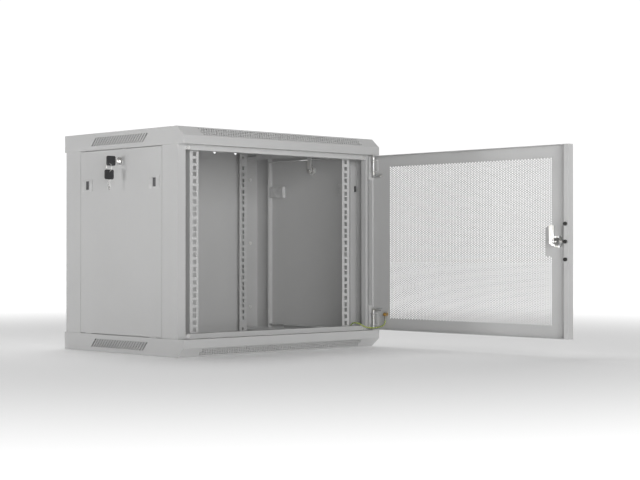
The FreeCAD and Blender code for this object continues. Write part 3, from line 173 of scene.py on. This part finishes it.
class Paint:
    """A material under construction: its Principled shader and short ways to add pattern nodes."""

    def __init__(self, name, color, roughness, metallic=0.0):
        self.material = bpy.data.materials.new(name)
        self.material.use_nodes = True
        self.tree = self.material.node_tree
        self.shader = self.tree.nodes["Principled BSDF"]
        self.shader.inputs["Base Color"].default_value = (*color, 1)
        self.shader.inputs["Roughness"].default_value = roughness
        self.shader.inputs["Metallic"].default_value = metallic
        self.place = self.add("ShaderNodeTexCoord").outputs["Object"]

    def add(self, kind, **settings):
        node = self.tree.nodes.new(kind)
        for name, value in settings.items():
            setattr(node, name, value)
        return node

    def link(self, output, socket):
        self.tree.links.new(output, socket)

    def set(self, node, socket, value):
        if isinstance(value, bpy.types.NodeSocket):
            self.link(value, node.inputs[socket])
        else:
            node.inputs[socket].default_value = value

    def stretched(self, scale):
        """Object coordinates stretched along one axis, for brushed and drawn patterns."""
        mapping = self.add("ShaderNodeMapping")
        self.link(self.place, mapping.inputs["Vector"])
        mapping.inputs["Scale"].default_value = scale
        return mapping.outputs["Vector"]

    def noise(self, scale, detail=2.0, roughness=0.5, place=None):
        node = self.add("ShaderNodeTexNoise")
        self.link(place or self.place, node.inputs["Vector"])
        node.inputs["Scale"].default_value = scale
        node.inputs["Detail"].default_value = detail
        node.inputs["Roughness"].default_value = roughness
        return node.outputs["Fac"]

    def cells(self, scale):
        node = self.add("ShaderNodeTexVoronoi")
        self.link(self.place, node.inputs["Vector"])
        node.inputs["Scale"].default_value = scale
        return node.outputs["Distance"]

    def between(self, value, low, high, start=0.0, end=1.0):
        """Maps a value from (start, end) to (low, high)."""
        node = self.add("ShaderNodeMapRange")
        self.set(node, "Value", value)
        for socket, number in (("From Min", start), ("From Max", end), ("To Min", low), ("To Max", high)):
            node.inputs[socket].default_value = number
        return node.outputs["Result"]

    def math(self, operation, first, second):
        node = self.add("ShaderNodeMath", operation=operation)
        self.set(node, 0, first)
        self.set(node, 1, second)
        return node.outputs["Value"]

    def mixed(self, factor, first, second):
        node = self.add("ShaderNodeMix", data_type="RGBA")
        self.set(node, "Factor", factor)
        for socket, value in (("A", first), ("B", second)):
            target = next(s for s in node.inputs if s.name == socket and s.type == "RGBA")
            if isinstance(value, bpy.types.NodeSocket):
                self.link(value, target)
            else:
                target.default_value = (*value, 1)
        return next(s for s in node.outputs if s.type == "RGBA")

    def rounded_normal(self, radius):
        """The surface's direction as if its sharp edges were rounded."""
        rounded = self.add("ShaderNodeBevel", samples=BEVEL_SAMPLES)
        rounded.inputs["Radius"].default_value = radius
        return rounded.outputs["Normal"]

    def edge_mask(self, radius):
        """0 on flat faces and up to 1 within a radius of a sharp edge."""
        rounded = self.rounded_normal(radius)
        plain = self.add("ShaderNodeNewGeometry")
        dot = self.add("ShaderNodeVectorMath", operation="DOT_PRODUCT")
        self.link(rounded, dot.inputs[0])
        self.link(plain.outputs["True Normal"], dot.inputs[1])
        return self.between(dot.outputs["Value"], 1.0, 0.0, 0.75, 1.0)

    def color(self, output):
        self.link(output, self.shader.inputs["Base Color"])

    def roughness(self, output):
        self.link(output, self.shader.inputs["Roughness"])

    def relief(self, layers, edge_radius=0.0):
        """Bump layers as (height output, distance in metres) over softened edges."""
        below = self.rounded_normal(edge_radius) if edge_radius else None
        for height, distance in layers:
            bump = self.add("ShaderNodeBump")
            bump.inputs["Strength"].default_value = 1.0
            bump.inputs["Distance"].default_value = distance
            self.link(height, bump.inputs["Height"])
            if below:
                self.link(below, bump.inputs["Normal"])
            below = bump.outputs["Normal"]
        self.link(below, self.shader.inputs["Normal"])


def scaled(color, factor):
    return tuple(channel * factor for channel in color)


# ---------------------------------------------------------------- the finishes
COAT_GREY = (0.58, 0.58, 0.577)


def powder_coat(name, color, peel):
    """Baked powder coat: orange peel, fine sparkle, slow tone drift and thinner, paler film on edges."""
    paint = Paint(name, color, 0.45)
    drift = paint.between(paint.noise(5, 3), 0.0, 1.0, 0.3, 0.7)
    tone = paint.mixed(drift, scaled(color, 0.975), scaled(color, 1.025))
    grain = paint.between(paint.noise(1600, 1), 0.0, 1.0, 0.35, 0.65)
    grained = paint.mixed(paint.math("MULTIPLY", grain, 0.3), tone, scaled(color, 0.9))
    scuffs = paint.between(paint.noise(38, 6, 0.75), 0.0, 1.0, 0.52, 0.72)
    edge = paint.math("MULTIPLY", paint.edge_mask(0.0009), paint.between(scuffs, 0.25, 0.9))
    paint.color(paint.mixed(edge, grained, scaled(color, 1.22)))
    paint.roughness(paint.between(paint.noise(70, 4), 0.38, 0.52, 0.3, 0.7))
    layers = [(paint.noise(620, 2), peel), (paint.noise(9, 1), 8 * peel)]
    paint.relief(layers, edge_radius=0.0008)
    return paint.material


def plated_metal(name, color, tint, smooth, rough, stretch, metallic=1.0):
    """Plated metal: brushed in one direction, blotched with a faint tint and worn bright on its edges."""
    paint = Paint(name, color, smooth, metallic)
    blotch = paint.between(paint.noise(130, 4, 0.6), 0.0, 1.0, 0.4, 0.65)
    brushed = paint.noise(260, 4, 0.6, place=paint.stretched(stretch))
    toned = paint.mixed(blotch, color, tint)
    lined = paint.mixed(paint.between(brushed, 0.0, 0.35, 0.35, 0.75), toned, scaled(color, 0.72))
    paint.color(paint.mixed(paint.math("MULTIPLY", paint.edge_mask(0.0005), 0.6), lined, scaled(color, 1.18)))
    uneven = paint.math("ADD", brushed, paint.math("MULTIPLY", blotch, 0.4))
    paint.roughness(paint.between(uneven, smooth, rough))
    paint.relief([(brushed, 0.00001)], edge_radius=0.0004)
    return paint.material


def moulded(name, color, grain, low, high):
    """Moulded plastic or rubber with a spark-eroded grain and polished edges."""
    paint = Paint(name, color, low)
    speck = paint.between(paint.cells(1400), 0.0, 1.0, 0.1, 0.7)
    blotch = paint.between(paint.noise(60, 3), 0.0, 1.0, 0.35, 0.65)
    tone = paint.mixed(blotch, scaled(color, 0.88), scaled(color, 1.12))
    worn = paint.math("MULTIPLY", paint.edge_mask(0.0006), 0.7)
    paint.color(paint.mixed(worn, tone, scaled(color, 1.6)))
    paint.roughness(paint.between(speck, high, low))
    paint.relief([(speck, grain)], edge_radius=0.0006)
    return paint.material


WIRE_UV = "along"
WIRE_GREEN = (0.10, 0.34, 0.09)
WIRE_YELLOW = (0.75, 0.68, 0.20)
STRIPES = 2
STRIPE_WINDING = 3.0


def striped_insulation():
    """Yellow insulation with green stripes that wind slowly round the wire."""
    paint = Paint("striped_insulation", WIRE_YELLOW, 0.35)
    layout = paint.add("ShaderNodeUVMap", uv_map=WIRE_UV)
    split = paint.add("ShaderNodeSeparateXYZ")
    paint.link(layout.outputs["UV"], split.inputs["Vector"])
    winding = paint.math("MULTIPLY", split.outputs["Y"], STRIPE_WINDING)
    turned = paint.math("ADD", split.outputs["X"], winding)
    wave = paint.math("SINE", paint.math("MULTIPLY", turned, 2 * STRIPES * math.pi), 0.0)
    stripe = paint.between(wave, 0.0, 1.0, -0.12, 0.12)
    ink = paint.math("SUBTRACT", stripe, paint.between(paint.noise(900, 3), 0.0, 0.12, 0.4, 0.7))
    paint.color(paint.mixed(ink, WIRE_YELLOW, WIRE_GREEN))
    paint.roughness(paint.between(paint.noise(300, 3), 0.3, 0.5, 0.3, 0.7))
    paint.relief([(paint.noise(500, 2), 0.00002)])
    return paint.material


MATERIALS = {
    "powder_coat": powder_coat("powder_coat", COAT_GREY, 0.00004),
    "rail_coat": powder_coat("rail_coat", scaled(COAT_GREY, 1.04), 0.00002),
    "zinc_steel": plated_metal(
        "zinc_steel", (0.78, 0.79, 0.80), (0.74, 0.72, 0.66), 0.26, 0.5, (1, 1, 0.08)
    ),
    "lock_metal": plated_metal(
        "lock_metal", (0.70, 0.69, 0.67), (0.64, 0.64, 0.65), 0.14, 0.34, (0.1, 1, 1)
    ),
    "brass_hardware": plated_metal(
        "brass_hardware", (0.72, 0.50, 0.19), (0.55, 0.36, 0.15), 0.24, 0.46, (1, 0.1, 1)
    ),
    "tinned_terminal": plated_metal(
        "tinned_terminal", (0.66, 0.64, 0.60), (0.55, 0.53, 0.50), 0.3, 0.52, (1, 0.15, 1)
    ),
    "key_plastic": moulded("key_plastic", (0.022, 0.022, 0.024), 0.00003, 0.32, 0.5),
    "black_rubber": moulded("black_rubber", (0.028, 0.028, 0.027), 0.00004, 0.6, 0.82),
    "grey_plastic": moulded("grey_plastic", COAT_GREY, 0.00002, 0.4, 0.52),
    "wire_insulation": striped_insulation(),
}
# Painted shade: the latch sliders are coloured near black so their finger slots read as deep, shadowed
# recesses.
SLIDER_PAINTED_SHADE = moulded("slider_painted_shade", (0.11, 0.11, 0.112), 0.00002, 0.4, 0.55)
# Zinc plating with a painted highlight: paler and only half metallic, so the screws, lock nuts and lock cam
# look as bright as if they caught the light.
PAINTED_HIGHLIGHT_ZINC = plated_metal(
    "zinc_painted_highlight", (0.86, 0.86, 0.86), (0.8, 0.79, 0.75), 0.3, 0.5, (1, 1, 0.3), metallic=0.45
)
PAINTED_HIGHLIGHT_ZINC_NODES = ("side_lock_nuts", "side_lock_cam")


def cad_material(part):
    """The finish of a part's slot, apart from the latch sliders, coloured near black as painted shade for
    their recess, and the small hardware, coloured paler as a painted highlight over its zinc.
    """
    if "latch_slider" in part["node"]:
        return SLIDER_PAINTED_SHADE
    if "screws" in part["node"] or part["node"].startswith(PAINTED_HIGHLIGHT_ZINC_NODES):
        return PAINTED_HIGHLIGHT_ZINC
    return MATERIALS[part["material_slot"]]


def finish_cad_nodes():
    for part in frame["record"]["subparts"]:
        mesh = frame["nodes"][part["node"]].data
        mesh.materials.clear()
        mesh.materials.append(cad_material(part))


def new_piece(name, mesh, slot):
    piece = bpy.data.objects.new(name, mesh)
    bpy.context.scene.collection.objects.link(piece)
    mesh.materials.append(MATERIALS[slot])
    return piece


finish_cad_nodes()

# ---------------------------------------------------------------- the perforated field of the door
HOLE_PITCH = 5.15 * MM
HOLE_ACROSS = 4.0 * MM
HOLE_SIDES = 6
COLUMN_STEP = HOLE_PITCH * math.sqrt(3) / 2
LOCK_PAD = 18 * MM
LOCK_PAD_HALF = 28 * MM
FIELD_MARGIN = 1.2 * MM
INSIDE_ONLY = 1
MERGE_WITHIN = 1e-7


def ring_of_points(center, radius, count):
    turns = [2 * math.pi * number / count for number in range(count)]
    return [center + radius * Vector((math.cos(turn), math.sin(turn))) for turn in turns]


def plate(name, outline, centers, hole_radius, hole_sides, spread):
    """A flat plate with a hole at each centre; spread gives the 3-D places of its two faces' points."""
    points = list(outline)
    owners = [None] * len(outline)
    edges = [(i, (i + 1) % len(outline)) for i in range(len(outline))]
    for number, center in enumerate(centers):
        first = len(points)
        points += ring_of_points(center, hole_radius, hole_sides)
        owners += [number] * hole_sides
        edges += [(first + i, first + (i + 1) % hole_sides) for i in range(hole_sides)]
    flat, _, triangles, origins, _, _ = delaunay_2d_cdt(points, edges, [], INSIDE_ONLY, MERGE_WITHIN)
    owner = [owners[found[0]] for found in origins]
    solid = [t for t in triangles if len({owner[v] for v in t}) > 1 or owner[t[0]] is None]
    sides = {(t[i], t[(i + 1) % 3]) for t in solid for i in range(3)}
    rims = [(a, b) for a, b in sides if (b, a) not in sides]
    count = len(flat)
    places = [spread(p, back) for back in (False, True) for p in flat]
    faces = [tuple(t) for t in solid]
    faces += [tuple(count + v for v in reversed(t)) for t in solid]
    faces += [(b, a, count + a, count + b) for a, b in sorted(rims)]
    mesh = bpy.data.meshes.new(name)
    mesh.from_pydata(places, [], faces)
    mesh.validate()
    return mesh


def add_door_field():
    """The field is made in two halves that meet along a zigzag between two rows of holes."""
    low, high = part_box("door_perforated_sheet")
    middle = Vector(((low.y + high.y) / 2, (low.z + high.z) / 2))
    pad_edge = low.y + LOCK_PAD
    reach = HOLE_ACROSS / 2
    corner = HOLE_ACROSS / math.sqrt(3)

    def allowed(center):
        inside = low.y + FIELD_MARGIN + corner < center.x < high.y - FIELD_MARGIN - corner
        inside = inside and low.z + FIELD_MARGIN + reach < center.y < high.z - FIELD_MARGIN - reach
        beside_lock = center.x < pad_edge + FIELD_MARGIN + corner
        level_with_lock = abs(center.y - middle.y) < LOCK_PAD_HALF + FIELD_MARGIN + reach
        return inside and not (beside_lock and level_with_lock)

    centers = {"upper": [], "lower": []}
    seam = []
    columns = int((high.y - low.y) / COLUMN_STEP / 2)
    rows = int((high.z - low.z) / HOLE_PITCH / 2) + 1
    for column in range(-columns, columns + 1):
        across = middle.x + column * COLUMN_STEP
        shift = HOLE_PITCH / 2 * (column % 2)
        for row in range(-rows, rows + 1):
            center = Vector((across, middle.y + row * HOLE_PITCH + shift))
            if allowed(center):
                centers["upper" if row > 0 else "lower"].append(center)
        for side in (-1, 1):
            point = Vector((across + side * HOLE_PITCH / math.sqrt(12), middle.y + HOLE_PITCH / 2 + shift))
            if pad_edge + FIELD_MARGIN < point.x < high.y - FIELD_MARGIN:
                seam.append(point)
    seam = [Vector((pad_edge, seam[0].y)), *seam, Vector((high.y, seam[-1].y))]
    outlines = {
        "upper": [
            *seam, Vector((high.y, high.z)), Vector((low.y, high.z)),
            Vector((low.y, middle.y + LOCK_PAD_HALF)), Vector((pad_edge, middle.y + LOCK_PAD_HALF)),
        ],
        "lower": [
            Vector((low.y, low.z)), Vector((high.y, low.z)), *reversed(seam),
            Vector((pad_edge, middle.y - LOCK_PAD_HALF)), Vector((low.y, middle.y - LOCK_PAD_HALF)),
        ],
    }
    for half, outline in outlines.items():
        mesh = plate(
            f"door_perforation_{half}", outline, centers[half], corner, HOLE_SIDES,
            lambda p, back: (low.x if back else high.x, p.x, p.y),
        )
        piece = new_piece(f"door_perforation_{half}", mesh, "powder_coat")
        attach(piece, "door")
        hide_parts("door_perforated_sheet")


add_door_field()

# ---------------------------------------------------------------- the two keys: black grips, plated blades
GRIP_RUN = 24 * MM
GRIP_RISE = 22 * MM
GRIP_CORNER = 4 * MM
GRIP_EDGE = 0.5 * MM
CORNER_TURN = 18  # degrees from point to point round a corner of the grip
RING_HOLE = 3 * MM
RING_HOLE_SIDES = 24
BLADE_HIGH = 6 * MM
BLADE_THICK = 1.3 * MM
BLADE_ROOT = 3 * MM
TIP_LENGTH = 3 * MM
TIP_SHARE = 0.35  # of the blade's height is left at its tip
FLAT_TURN = math.radians(1)
SHARP_TURN = math.radians(40)


def soften(mesh, width):
    """Rounds the sharp edges of a mesh in two steps."""
    work = bmesh.new()
    work.from_mesh(mesh)
    bmesh.ops.dissolve_limit(work, angle_limit=FLAT_TURN, verts=work.verts, edges=work.edges)
    sharp = [edge for edge in work.edges if edge.calc_face_angle(0) > SHARP_TURN]
    bmesh.ops.bevel(work, geom=sharp, offset=width, segments=2, profile=0.5, affect="EDGES")
    bmesh.ops.triangulate(work, faces=work.faces)
    work.to_mesh(mesh)
    work.free()


def add_grip(name, node, body, center, hole, depth):
    """A moulded grip plate that looks along Y, with rounded corners and a hole for the ring."""
    outline = []
    for quarter, (x, z) in enumerate(((1, 1), (-1, 1), (-1, -1), (1, -1))):
        middle = center + Vector((x * (GRIP_RUN / 2 - GRIP_CORNER), z * (GRIP_RISE / 2 - GRIP_CORNER)))
        arc = [math.radians(90 * quarter + CORNER_TURN * step) for step in range(90 // CORNER_TURN + 1)]
        outline += [middle + GRIP_CORNER * Vector((math.cos(turn), math.sin(turn))) for turn in arc]
    mesh = plate(
        name, outline, [hole], RING_HOLE, RING_HOLE_SIDES,
        lambda p, back: (p.x, depth[1 if back else 0], p.y),
    )
    soften(mesh, GRIP_EDGE)
    grip = new_piece(name, mesh, "key_plastic")
    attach(grip, body)
    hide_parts(node)


def add_blade(name, node, body, root, tip, middle):
    """A blade from root to tip with a milled groove in each side and a pointed end."""
    half = BLADE_THICK / 2
    edge = BLADE_HIGH / 2
    step = BLADE_HIGH / 12
    section = [
        (-half, -edge), (half, -edge), (half, -2 * step), (half / 3, -step), (half / 3, step),
        (half, 2 * step), (half, edge), (-half, edge), (-half, 4 * step), (-half / 3, 3 * step),
        (-half / 3, step), (-half, 0),
    ]
    ahead = (tip - root).normalized()
    beside = Vector((-ahead.y, ahead.x))
    stations = ((root, 1), (tip - ahead * TIP_LENGTH, 1), (tip, TIP_SHARE))
    places = []
    for point, share in stations:
        for thick, high in section:
            place = point + beside * high * share
            places.append((place.x, middle + thick, place.y))
    count = len(section)
    faces = [tuple(range(count)), tuple(reversed(range(2 * count, 3 * count)))]
    for first in (0, count):
        faces += [
            (first + (i + 1) % count, first + i, first + count + i, first + count + (i + 1) % count)
            for i in range(count)
        ]
    mesh = bpy.data.meshes.new(name)
    mesh.from_pydata(places, [], faces)
    work = bmesh.new()
    work.from_mesh(mesh)
    bmesh.ops.recalc_face_normals(work, faces=work.faces)
    work.to_mesh(mesh)
    work.free()
    key_blade = new_piece(name, mesh, "lock_metal")
    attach(key_blade, body)
    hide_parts(node)


def add_keys():
    low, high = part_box("side_lock_key")
    middle = (low.y + high.y) / 2
    level = (low.z + high.z) / 2
    spare_low, spare_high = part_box("spare_key")
    ring_low, ring_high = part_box("key_ring")
    across = (spare_low.x + spare_high.x) / 2
    wire = (ring_high.y - ring_low.y) / 2
    faces = (low.y, high.y)
    first = Vector((low.x + GRIP_RUN / 2, level))
    upper_hole = Vector((across, ring_high.z - wire))
    add_grip("side_lock_key_grip", "side_lock_key", "left_lock", first, upper_hole, faces)
    root = Vector((low.x + GRIP_RUN - BLADE_ROOT, level))
    add_blade("side_lock_key_blade", "side_lock_key", "left_lock", root, Vector((high.x, level)), middle)
    spare = Vector((across, spare_high.z - GRIP_RISE / 2))
    lower_hole = Vector((across, ring_low.z + wire))
    add_grip("spare_key_grip", "spare_key", "spare_key_set", spare, lower_hole, faces)
    root = Vector((across, spare_high.z - GRIP_RISE + BLADE_ROOT))
    add_blade("spare_key_blade", "spare_key", "spare_key_set", root, Vector((across, spare_low.z)), middle)


add_keys()

# ---------------------------------------------------------------- the earth wire
WIRE_RADIUS = 1.5 * MM
WIRE_SIDES = 14
POINTS_PER_SPAN = 10
UV_DIAMETERS = 10
WIRE_ROUTE = (
    (0.2923, -0.2525, 0.064), (0.2923, -0.2522, 0.0582), (0.292, -0.2493, 0.0532), (0.2908, -0.2435, 0.0496),
    (0.2886, -0.2355, 0.047), (0.2845, -0.227, 0.0453), (0.279, -0.2195, 0.0448), (0.271, -0.2105, 0.046),
    (0.2625, -0.205, 0.051), (0.256, -0.198, 0.0565), (0.2525, -0.1855, 0.0575), (0.2535, -0.174, 0.0515),
    (0.256, -0.166, 0.041), (0.2555, -0.1535, 0.0305), (0.2497, -0.14, 0.024), (0.2497, -0.126, 0.024),
)


def spline_points(route):
    """Points along the smooth line that a NURBS spline draws from its control points."""
    curve = bpy.data.curves.new("wire_line", "CURVE")
    curve.dimensions = "3D"
    curve.resolution_u = POINTS_PER_SPAN
    spline = curve.splines.new("NURBS")
    spline.points.add(len(route) - 1)
    for point, place in zip(spline.points, route):
        point.co = (*place, 1)
    spline.order_u = 3
    spline.use_endpoint_u = True
    holder = bpy.data.objects.new("wire_line", curve)
    line = bpy.data.meshes.new_from_object(holder)
    points = [vertex.co.copy() for vertex in line.vertices]
    bpy.data.meshes.remove(line)
    bpy.data.objects.remove(holder)
    return points


def tube(name, path, radius, sides, uv_name):
    """A closed round tube along a path; its UV map counts turns round it and tens of diameters along it."""
    work = bmesh.new()
    layer = work.loops.layers.uv.new(uv_name)
    across = (path[1] - path[0]).orthogonal().normalized()
    rings = []
    travelled = [0.0]
    for number, place in enumerate(path):
        before = path[max(number - 1, 0)]
        after = path[min(number + 1, len(path) - 1)]
        ahead = (after - before).normalized()
        across = (across - ahead * across.dot(ahead)).normalized()
        beside = ahead.cross(across)
        turns = [2 * math.pi * side / sides for side in range(sides)]
        rings.append([
            work.verts.new(place + radius * (across * math.cos(turn) + beside * math.sin(turn)))
            for turn in turns
        ])
        if number:
            travelled.append(travelled[-1] + (place - before).length)
    for number in range(len(path) - 1):
        for side in range(sides):
            after = (side + 1) % sides
            face = work.faces.new((
                rings[number][side], rings[number][after], rings[number + 1][after], rings[number + 1][side]
            ))
            face.smooth = True
            corners = ((side, number), (side + 1, number), (side + 1, number + 1), (side, number + 1))
            for loop, (u, v) in zip(face.loops, corners):
                loop[layer].uv = (u / sides, travelled[v] / (UV_DIAMETERS * 2 * radius))
    work.faces.new(list(reversed(rings[0])))
    work.faces.new(rings[-1])
    mesh = bpy.data.meshes.new(name)
    work.to_mesh(mesh)
    work.free()
    return mesh


def add_earth_wire():
    path = spline_points(WIRE_ROUTE)
    mesh = tube("earth_wire_lead", path, WIRE_RADIUS, WIRE_SIDES, WIRE_UV)
    wire = new_piece("earth_wire_lead", mesh, "wire_insulation")
    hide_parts("earth_wire")
    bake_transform(wire)


add_earth_wire()
